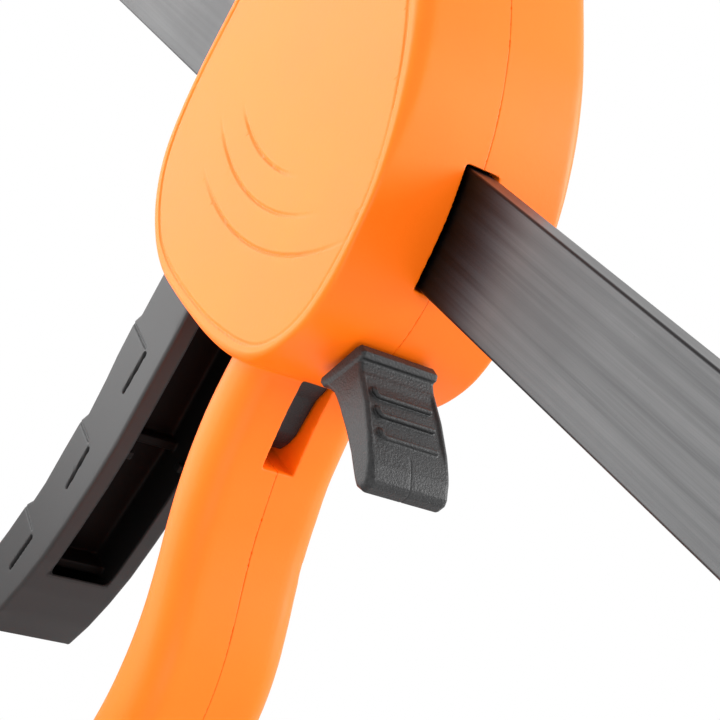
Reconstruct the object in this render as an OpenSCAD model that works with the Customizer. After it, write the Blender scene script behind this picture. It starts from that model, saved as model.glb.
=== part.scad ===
// One-handed quick release bar clamp, 300 mm class.
// X runs along the bar, away from the fixed jaw. Z is up, towards the jaw tips.
// Y runs across the clamp, and y = 0 is the plane where the two housing shells meet.
// The origin is the centre of the fixed jaw's clamping face.
// The housing and all it carries are drawn in housing coordinates (u, y, w), with
// their origin where the bar's centre line leaves the housing's rear face.

/* [Bar] */
// Height of the bar's section
bar_h = 20; // [18:0.5:20]
// Thickness of the bar's section
bar_t = 6; // [5:0.5:6]
// Radius on the bar's long edges
bar_edge_r = 0.6; // [0.2:0.1:0.8]
// Distance from the clamping face back to the bar's front end
bar_front = 38; // [30:1:40]
// Distance from the clamping face to the bar's rear end
bar_rear = 392; // [390:1:600]

/* [Jaws] */
// Opening between the pads as drawn
opening = 120; // [10:1:180]
// Height of the pad centre over the bar's centre line
throat = 54; // [52:1:56]
// Thickness of a jaw pad
pad_t = 7; // [6:0.5:7]
// Width of a jaw pad
pad_w = 32; // [26:1:34]
// Height of a jaw pad
pad_h = 40; // [34:1:42]
// Corner radius of a jaw pad
pad_r = 5; // [3:0.5:8]
// Width of the fixed jaw
jaw_w = 32; // [30:1:36]

/* [Housing] */
// Width of the housing
body_w = 36; // [34:0.5:38]
// Width of the handle
handle_w = 26.6; // [26:0.2:28]
// Thickness of the moulded shell
wall = 3; // [2.6:0.1:3.2]
// Width of the slots that the bar runs in
bar_slot_w = 7; // [6.6:0.1:7.4]
// Width of the slot behind the release lever
lever_slot_w = 6.4; // [6.2:0.1:6.6]

/* [Trigger] */
// Width of the trigger
trigger_w = 20; // [19:0.5:20]
// Thickness of the trigger's side walls
trigger_wall = 3.7; // [3.2:0.1:4]
// Radius of the trigger's pivot pin
trigger_pin_r = 2.5; // [2:0.1:2.8]

/* [Release lever] */
// Width of the thumb tab
tab_w = 16.2; // [15.4:0.2:16.6]
// Width of the web that runs in the handle slot
lever_web_w = 5.6; // [5:0.1:5.8]
// Radius of the release lever's pivot pin
lever_pin_r = 2; // [1.5:0.1:2.2]

/* [Plates and springs] */
// Thickness of one drive plate
drive_t = 3; // [2.5:0.1:3]
// Thickness of one brake plate
brake_t = 2.5; // [2:0.1:2.5]
// Tilt of the brake plates when they hold the bar, in degrees
brake_tilt = 3; // [2:0.25:3.5]
// Wire radius of the drive spring
drive_wire_r = 0.75; // [0.5:0.05:0.8]
// Wire radius of the brake spring
brake_wire_r = 0.45; // [0.3:0.05:0.5]

/* [Hidden] */
$fn = 48;

ORANGE = [1.00, 0.47, 0.06];
BLACK = [0.16, 0.16, 0.17];
STEEL = [0.62, 0.63, 0.65];
ZINC = [0.72, 0.73, 0.75];

pad_to_rear = 77;                 // moving clamping face to the housing's rear face
hx = opening + pad_to_rear;       // housing origin along X
hz = -throat;                     // housing origin along Z
jaw_face = -70;                   // front face of the moving jaw, in housing coordinates
trig_u = -55.5; trig_w = 16.5;    // trigger pivot
nose_u = -51; nose_w = -17.5; nose_r = 2.5;   // pin that pushes the drive plates
lev_u = -8.5; lev_w = -17.5;      // release lever pivot
drive_u = -48.2;                  // front face of the drive plates
rib_u0 = -26; rib_u1 = -24;       // web that both springs stand on
brake_u = -17.5; brake_w = 17.5;  // where the brake plates hang
SCREWS = [[-63, 67], [-58, 29], [-26, 29], [-29.5, -29], [-13.2, -68], [-6.2, -84], [-3.5, -112]];

// ---- planar helpers ----
function wrap(p, i) = p[(i + len(p)) % len(p)];
// Smooth closed curve through the given points, n pieces between two of them
function smooth(p, n = 4) = [for (i = [0:len(p) - 1]) for (k = [0:n - 1])
    let (t = k / n, a = wrap(p, i - 1), b = p[i], c = wrap(p, i + 1), d = wrap(p, i + 2))
    0.5 * (2 * b + (c - a) * t + (2 * a - 5 * b + 4 * c - d) * t * t + (3 * b - a - 3 * c + d) * t * t * t)];
// Smooth open curve through the given points
function smooth_open(p, n = 4) = concat([for (i = [0:len(p) - 2]) for (k = [0:n - 1])
    let (t = k / n, b = p[i], c = p[i + 1],
         a = i > 0 ? p[i - 1] : 2 * b - c, d = i < len(p) - 2 ? p[i + 2] : 2 * c - b)
    0.5 * (2 * b + (c - a) * t + (2 * a - 5 * b + 4 * c - d) * t * t + (3 * b - a - 3 * c + d) * t * t * t)],
    [p[len(p) - 1]]);
// The outline moved inwards by e, times a weight of each point. The points run clockwise.
function inset(p, e) = [for (i = [0:len(p) - 1])
    let (a = wrap(p, i - 1), b = wrap(p, i + 1), d = (b - a) / norm(b - a))
    p[i] + e * [d[1], -d[0]]];
function rear_weight(p) = p[0] > -3 ? 0.3 : p[0] > -10 ? 0.3 + 0.7 * (-3 - p[0]) / 7 : 1;
function inset_w(p, e) = [for (i = [0:len(p) - 1])
    let (a = wrap(p, i - 1), b = wrap(p, i + 1), d = (b - a) / norm(b - a))
    p[i] + e * rear_weight(p[i]) * [d[1], -d[0]]];
// A polygon in (u, w), extruded from y0 to y1
module slab(p, y0, y1) translate([0, y1, 0]) rotate([90, 0, 0]) linear_extrude(y1 - y0) polygon(p);
module block(u0, u1, y0, y1, w0, w1) translate([u0, y0, w0]) cube([u1 - u0, y1 - y0, w1 - w0]);
module rod(u, w, r, y0, y1) translate([u, y1, w]) rotate([90, 0, 0]) cylinder(r = r, h = y1 - y0);
module at_housing() translate([hx, 0, hz]) children();

// ---- housing outlines, clockwise seen from the left side ----
BODY = smooth([[-70, 73], [-68.6, 77], [-64.5, 79], [-60, 78.2], [-56, 74.5], [-51, 68.5], [-44, 60], [-36, 51],
    [-27.7, 42.7], [-20.5, 35.5], [-14.4, 28.9], [-10.3, 23.2], [-7.3, 18.1], [-4.9, 12.8], [-2.9, 7], [-1.4, 1],
    [-0.5, -6], [0, -13], [-0.9, -20], [-3.2, -25], [-7, -30], [-12.4, -33.9], [-18.5, -36.1], [-25.5, -36.9],
    [-33, -36.9], [-41, -36.6], [-48.5, -36.1], [-54.3, -34.4], [-58.8, -32], [-62.6, -29], [-66.2, -24.8],
    [-69, -19.3], [-70.4, -12], [-70.8, -3], [-70.6, 8], [-70.2, 20], [-70, 32], [-70, 46], [-70, 60]], 3);
HANDLE_REAR = [[-15, -30], [-14.6, -40], [-13.9, -46], [-13, -51.5], [-11.3, -57], [-9.3, -62.8], [-6.6, -68.6],
    [-3.4, -74.6], [-0.4, -81], [1.7, -88], [2.8, -96], [3.3, -104], [3.8, -112], [4, -118], [2, -122.6]];
HANDLE_FRONT = [[-2, -125.4], [-6.6, -125.8], [-10.4, -123.6], [-12.2, -119.4], [-11.8, -113], [-10.6, -105], [-10.2, -97],
    [-11, -89], [-12.8, -81.5], [-15.6, -74.5], [-19, -67.5], [-22, -60], [-24.1, -52], [-25.2, -44], [-25.6, -30]];
HANDLE = concat(smooth_open(HANDLE_REAR, 3), smooth_open(HANDLE_FRONT, 3));
HANDLE_WEB = [[-33, -31], [-32.4, -46], [-30.6, -55], [-27.6, -63.5], [-24, -71], [-20.4, -78.5], [-17.8, -86],
    [-16.6, -94], [-16.2, -104], [-14, -116], [-8, -116], [-8, -96], [-12, -80], [-20, -60], [-22, -31]];

module half_shell_solid() {
    // body and jaw arm, with a stepped round towards the side face
    slab(BODY, 0, 14.6);
    slab(inset_w(BODY, 0.5), 14.6, 16.2);
    slab(inset_w(BODY, 1.4), 16.2, 17.3);
    slab(inset_w(BODY, 2.6), 17.3, body_w / 2);
    // handle
    slab(HANDLE, 0, handle_w / 2 - 5.4);
    slab(inset(HANDLE, 0.7), handle_w / 2 - 5.4, handle_w / 2 - 3);
    slab(inset(HANDLE, 1.6), handle_w / 2 - 3, handle_w / 2 - 1.2);
    slab(inset(HANDLE, 2.7), handle_w / 2 - 1.2, handle_w / 2);
    slab(HANDLE_WEB, 0, 5);
}

// What stands inside the hollow body: guides, decks, ribs and bosses
module half_shell_inner() {
    block(-69, -62.5, 0, 15.5, -20, 24);              // front guide
    block(rib_u0, rib_u1, 0, 15.5, -34, 24);          // spring web
    block(-67.5, -12, 0, 15.5, 23.4, 25.4);           // deck over the mechanism
    block(-23.4, -20.9, 0, 15.5, 14.6, 24);           // stop in front of the brake plates
    block(-13.9, -11.4, 0, 15.5, 14.6, 24);           // stop behind the brake plates
    rod(trig_u, trig_w, 5.5, 10.5, 15.5);             // trigger pivot boss
    rod(lev_u, lev_w, 4.2, 8, 15.5);                  // release lever pivot boss
    // ribs in the jaw arm
    slab([[-68, 40], [-33, 40], [-31.4, 42], [-68, 42]], 0, 15.5);
    slab([[-68, 56], [-47, 56], [-45.4, 58], [-68, 58]], 0, 15.5);
    slab([[-42, 24], [-40, 24], [-56, 57], [-58, 57]], 0, 15.5);
    for (s = SCREWS) if (s[1] > -40) rod(s[0], s[1], 4.6, 0, 15.5);
}

module half_shell(screw_side) {
    difference() {
        union() {
            difference() {
                half_shell_solid();
                slab(inset(BODY, wall), -1, body_w / 2 - wall);
                // hollow of the handle, closed over its screws
                slab([[-13.5, -71.5], [-9.2, -71.5], [-6.2, -77.5], [-9.6, -77.5]], -1, 10);
                slab([[-7.6, -91], [-1.2, -90], [0.2, -104], [-7.4, -106]], -1, 10);
            }
            intersection() {
                half_shell_inner();
                slab(inset(BODY, 1.2), 0, 16.5);
            }
        }
        // running slots for the bar
        block(-80, -60, -1, bar_slot_w / 2, -10.4, 10.4);
        block(-27, -23, -1, bar_slot_w / 2, -10.4, 10.4);
        block(-10, 5, -1, bar_slot_w / 2, -10.3, 10.4);
        // mouth that the trigger swings in
        block(-62.4, -30.4, -1, trigger_w / 2 + 0.6, -42, -24.5);
        // mouth for the release lever's neck
        slab([[-9.8, -22.5], [3, -22.5], [3, -31], [-5, -31], [-6.2, -29.2], [-9.8, -25.6]], -1, tab_w / 2 - 3.4);
        slab([[-15, -22.5], [3, -22.5], [3, -26], [-6.2, -30.2], [-9.5, -30.2], [-12, -31], [-15, -32.6]], -1, lever_slot_w / 2);
        // slot in the handle for the lever's web
        slab([[-29.6, -31], [-26.6, -31], [-26.2, -30.2], [-16, -30.2], [-14.9, -31], [-14.9, -34.4], [-14.4, -35.2], [-6, -35.2], [-6, -51.2], [-29.6, -51.2]], -1, lever_slot_w / 2);
        // pivot pins
        rod(trig_u, trig_w, trigger_pin_r + 0.02, -1, 14.2);
        rod(lev_u, lev_w, lever_pin_r + 0.02, -1, 14.2);
        // flat seat for the pad, and a slot for its tongue
        block(jaw_face - 3, jaw_face, -1, 20, throat - pad_h / 2 - 1, throat + pad_h / 2 + 1);
        block(jaw_face - 1, jaw_face + 3.1, -1, 5.1, 41.9, 66.1);
        // screws
        for (s = SCREWS) {
            if (screw_side) {
                rod(s[0], s[1], 2.1, -1, 19);
                rod(s[0], s[1], 3.9, s[1] < -40 ? 9 : 13.5, 19);
            } else {
                rod(s[0], s[1], 1.92, -1, 10);
            }
        }
    }
}

module housing_right() color(ORANGE) at_housing() half_shell(true);
module housing_left() color(ORANGE) at_housing() mirror([0, 1, 0]) half_shell(false);

// Pan head screws, put in from the right side
module housing_screws() color(ZINC) at_housing() for (s = SCREWS) {
    seat = s[1] < -40 ? 9 : 13.5;
    difference() {
        union() {
            rod(s[0], s[1], 1.9, max(seat - 20, -9.4), seat + 0.5);
            rod(s[0], s[1], 3.6, seat, seat + 2.2);
        }
        translate([s[0] - 0.45, seat + 1.1, s[1] - 2.2]) cube([0.9, 2, 4.4]);
        translate([s[0] - 2.2, seat + 1.1, s[1] - 0.45]) cube([4.4, 2, 0.9]);
    }
}

// ---- bar ----
module bar() color(STEEL) difference() {
    translate([-bar_front, 0, hz]) rotate([90, 0, 90]) linear_extrude(bar_front + bar_rear) polygon(
        [for (q = [[1, 1, 0], [-1, 1, 90], [-1, -1, 180], [1, -1, 270]]) for (a = [0, 30, 60, 90])
            [q[0] * (bar_t / 2 - bar_edge_r) + bar_edge_r * cos(q[2] + a), q[1] * (bar_h / 2 - bar_edge_r) + bar_edge_r * sin(q[2] + a)]]);
    for (x = [-28, -14]) rod(x, hz, 2.5, -10, 10);
    rod(bar_rear - 6, hz, 2.5, -10, 10);
}

// Slotted spring pin through the rear end, which keeps the housing on the bar
module bar_stop_pin() color(ZINC) difference() {
    rod(bar_rear - 6, hz, 2.48, -7, 7);
    rod(bar_rear - 6, hz, 1.5, -8, 8);
    translate([bar_rear - 6, -8, hz - 0.4]) cube([4, 16, 0.8]);
}

// ---- fixed jaw ----
// outline in (x, height over the bar's centre line), clockwise seen from the left side
FIXED = smooth([[-7, 20], [-5.6, 14.5], [-4.6, 9], [-4.4, 0], [-4.6, -9], [-6.5, -14.5], [-12, -16.6], [-24, -17],
    [-38, -16.6], [-43, -13.5], [-44.6, -7], [-44.6, 2], [-43.6, 12], [-41, 24], [-37.4, 36], [-33, 48], [-28.4, 59],
    [-23.4, 69], [-18.8, 76], [-14, 79], [-9.8, 78], [-7.2, 74.4], [-7, 66], [-7, 54], [-7, 42], [-7, 30]], 3);
module fixed_jaw_solid() {
    h = jaw_w / 2;
    for (m = [0, 1]) mirror([0, m, 0]) {
        slab(FIXED, 0, h - 3);
        slab(inset(FIXED, 0.5), h - 3, h - 1.6);
        slab(inset(FIXED, 1.3), h - 1.6, h - 0.6);
        slab(inset(FIXED, 2.4), h - 0.6, h);
    }
}
module fixed_jaw() color(ORANGE) translate([0, 0, hz]) difference() {
    fixed_jaw_solid();
    block(-bar_front - 0.5, 2, -bar_t / 2 - 0.05, bar_t / 2 + 0.05, -bar_h / 2 - 0.05, bar_h / 2 + 0.05);
    for (x = [-28, -14]) rod(x, 0, 2.5, -20, 20);
    // weight-saving pockets on both sides, with a web between them
    for (m = [0, 1]) mirror([0, m, 0]) {
        slab([[-12, 22], [-12, 38], [-32.6, 38], [-37.6, 22]], 7, 20);
        slab([[-12, 42], [-12, 54], [-26.4, 54], [-31.2, 42]], 7, 20);
        slab([[-12, 58], [-12, 70], [-18.6, 70], [-24.6, 58]], 7, 20);
    }
    block(-10.1, -6, -5.1, 5.1, 41.9, 66.1);
    // flat seat of the pad
    block(-7, 2, -20, 20, throat - pad_h / 2 - 1, throat + pad_h / 2 + 1);
}
// Slotted spring pins that hold the fixed jaw on the bar
module fixed_jaw_pins() color(ZINC) for (x = [-28, -14]) difference() {
    rod(x, hz, 2.48, -15.6, 15.6);
    rod(x, hz, 1.5, -17, 17);
    translate([x, -17, hz - 0.4]) cube([4, 34, 0.8]);
}

// ---- pads ----
// A rounded plate with a tongue; its clamping face is x = 0 and it lies towards -X
module pad() {
    for (sy = [-1, 1], sz = [-1, 1])
        translate([-pad_t, sy * (pad_w / 2 - pad_r), sz * (pad_h / 2 - pad_r)]) rotate([0, 90, 0]) cylinder(r = pad_r, h = pad_t);
    block(-pad_t, 0, -pad_w / 2, pad_w / 2, -pad_h / 2 + pad_r, pad_h / 2 - pad_r);
    block(-pad_t, 0, -pad_w / 2 + pad_r, pad_w / 2 - pad_r, -pad_h / 2, pad_h / 2);
    block(-pad_t - 3, -pad_t + 1, -5, 5, -12, 12);
}
module fixed_jaw_pad() color(BLACK) pad();
module moving_jaw_pad() color(BLACK) translate([opening, 0, 0]) mirror([1, 0, 0]) pad();
// ---- trigger ----
TRIG_FRONT = [[-60.8, -20], [-61, -39.4], [-61.3, -48.4], [-62.5, -50.3], [-62.5, -57.9], [-62.1, -63], [-62, -70.6],
    [-63.4, -72.8], [-64.1, -80], [-64.7, -88], [-65.6, -92.6], [-67.3, -94.6], [-69, -102], [-71.2, -109.5], [-73, -115.5]];
TRIG_REAR = [[-66, -121.6], [-60.6, -119.6], [-57.4, -113], [-54.6, -105.5], [-52.2, -97.5], [-50.4, -88.5], [-48.7, -78.5],
    [-47.6, -69], [-47.2, -59], [-46.8, -48], [-46.7, -39], [-47, -34], [-48.4, -29.5]];
TRIG_END = [[-72.8, -119], [-70, -121.6]];
TRIG_SIDE = concat([for (i = [len(TRIG_REAR) - 1:-1:0]) TRIG_REAR[i]], [for (i = [1:-1:0]) TRIG_END[i]],
    [for (i = [len(TRIG_FRONT) - 1:-1:0]) TRIG_FRONT[i]], [[-61.9, -4], [-62, 10], [-62, 16.5], [-49.2, 16.5], [-49.5, -4], [-49.6, -17.5], [-49.9, -21.5], [-50, -25]]);
// inside of the channel
TRIG_FLOOR = [[-57.2, -8], [-57, -40], [-57.4, -56], [-57.6, -70], [-59.6, -84], [-61.4, -96], [-64, -106], [-66.6, -113],
    [-63.5, -116], [-60, -113], [-56, -104], [-48, -94], [-40, -80], [-40, -8]];
module trigger() color(BLACK) at_housing() {
    inner = trigger_w / 2 - trigger_wall;
    difference() {
        union() {
            slab(TRIG_SIDE, -trigger_w / 2, trigger_w / 2);
            rod(trig_u, trig_w, 6.3, -trigger_w / 2, trigger_w / 2);
        }
        slab(TRIG_FLOOR, -inner, inner);
        // open over and around the bar
        block(-70, -40, -inner, inner, -12.6, 30);
        rod(trig_u, trig_w, trigger_pin_r + 0.06, -20, 20);
        rod(nose_u, nose_w, nose_r + 0.01, -20, 20);
    }
    // ribs of the channel
    block(-60, -54.6, -inner - 0.5, inner + 0.5, -70.5, -68.5);
    block(-64, -57, -inner - 0.5, inner + 0.5, -101, -99);
}
// Steel pin across the trigger that bears on the drive plates
module trigger_push_pin() color(ZINC) at_housing() rod(nose_u, nose_w, nose_r, -trigger_w / 2, trigger_w / 2);
module trigger_pivot_pin() color(ZINC) at_housing() rod(trig_u, trig_w, trigger_pin_r, -14, 14);

// ---- release lever ----
TAB = [[-0.6, -21.6], [0.8, -21.9], [3.4, -24.1], [8.5, -26.6], [13.5, -29.8], [17.2, -32.7], [18.9, -34.6], [19.2, -35.8],
    [18.4, -37.3], [16.8, -37.4], [11.7, -34.5], [8, -32.9], [3.5, -31.2], [-0.2, -30.3], [-3.4, -30.6], [-4.5, -30.2]];
NECK = [[-9.5, -13.4], [-5.7, -15.2], [-5.7, -19.6], [-5.8, -22.9], [-1, -22.9], [-0.3, -24], [-2.8, -28.6], [-3.8, -28.8],
    [-9.2, -24.4], [-11.4, -23.4], [-12.6, -17.5]];
WEB = [[-5.6, -24.4], [-6.4, -28], [-9.5, -29.6], [-12, -30.4], [-15.3, -32], [-15.5, -34.8], [-16.3, -36.9], [-17, -38.6],
    [-17.1, -42.5], [-17.2, -45.6], [-17.9, -47.7], [-19.2, -49.5], [-21, -50.3], [-22.6, -49.6], [-23.4, -47.5], [-23.4, -36.8],
    [-22.2, -34.8], [-20.2, -31.8], [-17.5, -29.3], [-12.3, -27.6], [-11.2, -23.6]];
module release_lever() color(BLACK) at_housing() difference() {
    union() {
        slab(TAB, -tab_w / 2 + 0.6, tab_w / 2 - 0.6);
        slab([[0.6, -21.3], [2.2, -21.8], [-3.3, -30.9], [-4.8, -30.1]], -tab_w / 2 + 0.4, tab_w / 2 - 0.4);
        slab([[0.5, -23.6], [3.4, -24.9], [13.2, -31.2], [17.9, -35], [17.5, -36.7], [11.4, -33.7], [3.4, -30.3], [-2.6, -29.6]], -tab_w / 2, tab_w / 2);
        slab(NECK, -tab_w / 2 + 3.9, tab_w / 2 - 3.9);
        slab(WEB, -lever_web_w / 2, lever_web_w / 2);
        rod(lev_u, lev_w, 4.1, -tab_w / 2 + 1.2, tab_w / 2 - 1.2);
        for (r = [[7.1, -25.7], [10.1, -27.3], [13.4, -29.4]]) rod(r[0], r[1], 0.6, -5, 5);
    }
    rod(lev_u, lev_w, lever_pin_r + 0.05, -20, 20);
}
module release_pivot_pin() color(ZINC) at_housing() rod(lev_u, lev_w, lever_pin_r, -14, 14);

// ---- plates ----
module drive_plate(u) color(STEEL) at_housing() difference() {
    block(u, u + drive_t, -10, 10, -19.5, 14);
    block(u - 1, u + drive_t + 1, -bar_t / 2 - 0.25, bar_t / 2 + 0.25, -bar_h / 2 - 0.35, bar_h / 2 + 0.35);
}
module drive_plate_front() drive_plate(drive_u);
module drive_plate_rear() drive_plate(drive_u + drive_t);

// Brake plates hang from their top ends and lean so that their lower ends are behind
module brake_plate(u) color(STEEL) at_housing() translate([brake_u, 0, brake_w]) rotate([0, -brake_tilt, 0]) difference() {
    block(u, u + brake_t, -9, 9, -44, 2);
    block(u - 1, u + brake_t + 1, -bar_t / 2 - 0.25, bar_t / 2 + 0.25, -brake_w - bar_h / 2 - 0.45, -brake_w + bar_h / 2 + 0.5);
}
module brake_plate_front() brake_plate(-brake_t);
module brake_plate_rear() brake_plate(0);

// ---- springs ----
// Round wire wound on a cylinder about the U axis, from u0 to u1
module coil(u0, u1, r, wire, turns, seg = 14, sides = 6) {
    n = turns * seg;
    pts = [for (i = [0:n]) let (a = 360 * i / seg, u = u0 + wire + (u1 - u0 - 2 * wire) * i / n) for (k = [0:sides - 1])
        let (b = 360 * k / sides, q = r + wire * cos(b)) [u + wire * sin(b), q * sin(a), q * cos(a)]];
    faces = concat([[for (k = [0:sides - 1]) k]], [[for (k = [sides - 1:-1:0]) n * sides + k]],
        [for (i = [0:n - 1]) for (k = [0:sides - 1]) let (l = (k + 1) % sides)
            [i * sides + k, (i + 1) * sides + k, (i + 1) * sides + l, i * sides + l]]);
    polyhedron(pts, faces, convexity = 10);
}
module drive_spring() color(ZINC) at_housing() coil(drive_u + 2 * drive_t + 0.1, rib_u0 - 0.1, 11.75, drive_wire_r, 4);
module brake_spring() color(ZINC) at_housing() translate([0, 0, -20.5]) coil(rib_u1 + 0.1, -18.6, 3.4, brake_wire_r, 3);

bar();
bar_stop_pin();
fixed_jaw();
fixed_jaw_pins();
fixed_jaw_pad();
housing_left();
housing_right();
housing_screws();
moving_jaw_pad();
trigger();
trigger_push_pin();
trigger_pivot_pin();
release_lever();
release_pivot_pin();
drive_plate_front();
drive_plate_rear();
drive_spring();
brake_plate_front();
brake_plate_rear();
brake_spring();
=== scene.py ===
import math

import bpy
import numpy as np
import openvdb
from mathutils import Matrix


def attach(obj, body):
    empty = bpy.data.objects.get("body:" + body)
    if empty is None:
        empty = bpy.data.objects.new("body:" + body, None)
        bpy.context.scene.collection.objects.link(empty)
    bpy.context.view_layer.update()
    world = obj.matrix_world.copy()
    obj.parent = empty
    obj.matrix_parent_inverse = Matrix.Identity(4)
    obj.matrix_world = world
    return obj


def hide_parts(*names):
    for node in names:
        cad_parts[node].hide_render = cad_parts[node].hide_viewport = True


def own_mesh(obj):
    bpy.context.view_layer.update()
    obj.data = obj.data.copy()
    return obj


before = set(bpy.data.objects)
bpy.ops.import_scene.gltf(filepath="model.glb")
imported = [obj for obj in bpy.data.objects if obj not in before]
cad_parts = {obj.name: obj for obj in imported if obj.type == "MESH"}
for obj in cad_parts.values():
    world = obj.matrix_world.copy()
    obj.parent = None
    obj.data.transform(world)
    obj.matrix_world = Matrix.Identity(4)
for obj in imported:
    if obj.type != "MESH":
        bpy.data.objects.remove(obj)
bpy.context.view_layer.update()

SC = 1.0          # coarser grids while trying things
HX, HZ = 197.0, -54.0                # housing origin in the row frame, mm

# ------------------------------------------------------------------ outlines (mm)
def spl(p, n, closed=True):
    p = np.array(p, float)
    m = len(p)
    out = []
    for i in range(m if closed else m - 1):
        b = p[i]
        c = p[(i + 1) % m]
        a = p[(i - 1) % m] if closed or i > 0 else 2 * b - c
        d = p[(i + 2) % m] if closed or i < m - 2 else 2 * c - b
        for k in range(n):
            t = k / n
            out.append(0.5 * (2 * b + (c - a) * t + (2 * a - 5 * b + 4 * c - d) * t * t + (3 * b - a - 3 * c + d) * t ** 3))
    if not closed:
        out.append(p[-1])
    return np.array(out)


BODY = spl([[-70, 73], [-68.6, 77], [-64.5, 79], [-60, 78.2], [-56, 74.5], [-51, 68.5], [-44, 60], [-36, 51],
            [-27.7, 42.7], [-20.5, 35.5], [-14.4, 28.9], [-10.3, 23.2], [-7.3, 18.1], [-4.9, 12.8], [-2.9, 7], [-1.4, 1],
            [-0.5, -6], [0, -13], [-0.9, -20], [-3.2, -25], [-7, -30], [-12.4, -33.9], [-18.5, -36.1], [-25.5, -36.9],
            [-33, -36.9], [-41, -36.6], [-48.5, -36.1], [-54.3, -34.4], [-58.8, -32], [-62.6, -29], [-66.2, -24.8],
            [-69, -19.3], [-70.4, -12], [-70.8, -3], [-70.6, 8], [-70.2, 20], [-70, 32], [-70, 46], [-70, 60]], 5)
# edge of the slightly sunk side panel
PANEL = spl([[-67.4, 70], [-66.4, 74.2], [-63.6, 75.9], [-60.4, 75.1], [-57.4, 72], [-52.4, 65.4], [-45.4, 57],
             [-37.4, 48], [-29.3, 39.3], [-22.4, 32.1], [-16.5, 25.7], [-12.5, 20.7], [-9.3, 15.7], [-6.6, 10.8],
             [-4.4, 5.8], [-2.8, 0.5], [-2.0, -5.2], [-1.75, -12.0], [-2.3, -18.2], [-3.9, -23.2], [-6.7, -27.3],
             [-10.2, -30.2], [-14.6, -31.9], [-20, -33.0], [-27.4, -33.9], [-36.2, -34.0], [-43.5, -33.6], [-48.6, -32.8],
             [-53.2, -31.3], [-57.0, -29.0], [-60.6, -25.9], [-63.6, -22.0], [-65.8, -17.2], [-67.2, -10.6], [-67.8, -3],
             [-67.7, 8], [-67.5, 20], [-67.4, 32], [-67.4, 46], [-67.4, 60]], 5)
HANDLE_REAR = [[-15, -30], [-14.6, -40], [-13.9, -46], [-13, -51.5], [-11.3, -57], [-9.3, -62.8], [-6.6, -68.6],
               [-3.4, -74.6], [-0.4, -81], [1.7, -88], [2.8, -96], [3.3, -104], [3.8, -112], [4, -118], [2, -122.6]]
HANDLE_FRONT = [[-2, -125.4], [-6.6, -125.8], [-10.4, -123.6], [-12.2, -119.4], [-11.8, -113], [-10.6, -105], [-10.2, -97],
                [-11, -89], [-12.8, -81.5], [-15.6, -74.5], [-19, -67.5], [-22, -60], [-24.1, -52], [-25.2, -44], [-25.6, -30]]
HANDLE = np.vstack([spl(HANDLE_REAR, 4, False), spl(HANDLE_FRONT, 4, False)])
HANDLE_WEB = [[-33, -31], [-32.4, -46], [-30.6, -55], [-27.6, -63.5], [-24, -71], [-20.4, -78.5], [-17.8, -86],
              [-16.6, -94], [-16.2, -104], [-14, -116], [-8, -116], [-8, -96], [-12, -80], [-20, -60], [-22, -31]]
SCREWS = [[-63, 67], [-58, 29], [-26, 29], [-29.5, -29], [-13.2, -68], [-6.2, -84], [-3.5, -112]]
FIXED = spl([[-7, 20], [-5.6, 14.5], [-4.6, 9], [-4.4, 0], [-4.6, -9], [-6.5, -14.5], [-12, -16.6], [-24, -17],
             [-38, -16.6], [-43, -13.5], [-44.6, -7], [-44.6, 2], [-43.6, 12], [-41, 24], [-37.4, 36], [-33, 48],
             [-28.4, 59], [-23.4, 69], [-18.8, 76], [-14, 79], [-9.8, 78], [-7.2, 74.4], [-7, 66], [-7, 54], [-7, 42],
             [-7, 30]], 5)
TRIG_FRONT = [[-60.8, -20], [-61, -39.4], [-61.3, -48.4], [-62.5, -50.3], [-62.5, -57.9], [-62.1, -63], [-62, -70.6],
              [-63.4, -72.8], [-64.1, -80], [-64.7, -88], [-65.6, -92.6], [-67.3, -94.6], [-69, -102], [-71.2, -109.5], [-73, -115.5]]
TRIG_REAR = [[-66, -121.6], [-60.6, -119.6], [-57.4, -113], [-54.6, -105.5], [-52.2, -97.5], [-50.4, -88.5], [-48.7, -78.5],
             [-47.6, -69], [-47.2, -59], [-46.8, -48], [-46.7, -39], [-47, -34], [-48.4, -29.5]]
TRIG_SIDE = (TRIG_REAR[::-1] + [[-70, -121.6], [-72.8, -119]] + TRIG_FRONT[::-1]
             + [[-61.9, -4], [-62, 10], [-62, 16.5], [-49.2, 16.5], [-49.5, -4], [-49.6, -17.5], [-49.9, -21.5], [-50, -25]])
TRIG_FLOOR = [[-57.2, -8], [-57, -40], [-57.4, -56], [-57.6, -70], [-59.6, -84], [-61.4, -96], [-64, -106], [-66.6, -113],
              [-63.5, -116], [-60, -113], [-56, -104], [-48, -94], [-40, -80], [-40, -8]]
TAB = [[-0.6, -21.6], [0.8, -21.9], [3.4, -24.1], [8.5, -26.6], [13.5, -29.8], [17.2, -32.7], [18.9, -34.6], [19.2, -35.8],
       [18.4, -37.3], [16.8, -37.4], [11.7, -34.5], [8, -32.9], [3.5, -31.2], [-0.2, -30.3], [-3.4, -30.6], [-4.5, -30.2]]
NECK = [[-9.5, -13.4], [-5.7, -15.2], [-5.7, -19.6], [-5.8, -22.9], [-1, -22.9], [-0.3, -24], [-2.8, -28.6], [-3.8, -28.8],
        [-9.2, -24.4], [-11.4, -23.4], [-12.6, -17.5]]
WEB = [[-5.6, -24.4], [-6.4, -28], [-9.5, -29.6], [-12, -30.4], [-15.3, -32], [-15.5, -34.8], [-16.3, -36.9], [-17, -38.6],
       [-17.1, -42.5], [-17.2, -45.6], [-17.9, -47.7], [-19.2, -49.5], [-21, -50.3], [-22.6, -49.6], [-23.4, -47.5], [-23.4, -36.8],
       [-22.2, -34.8], [-20.2, -31.8], [-17.5, -29.3], [-12.3, -27.6], [-11.2, -23.6]]


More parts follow.
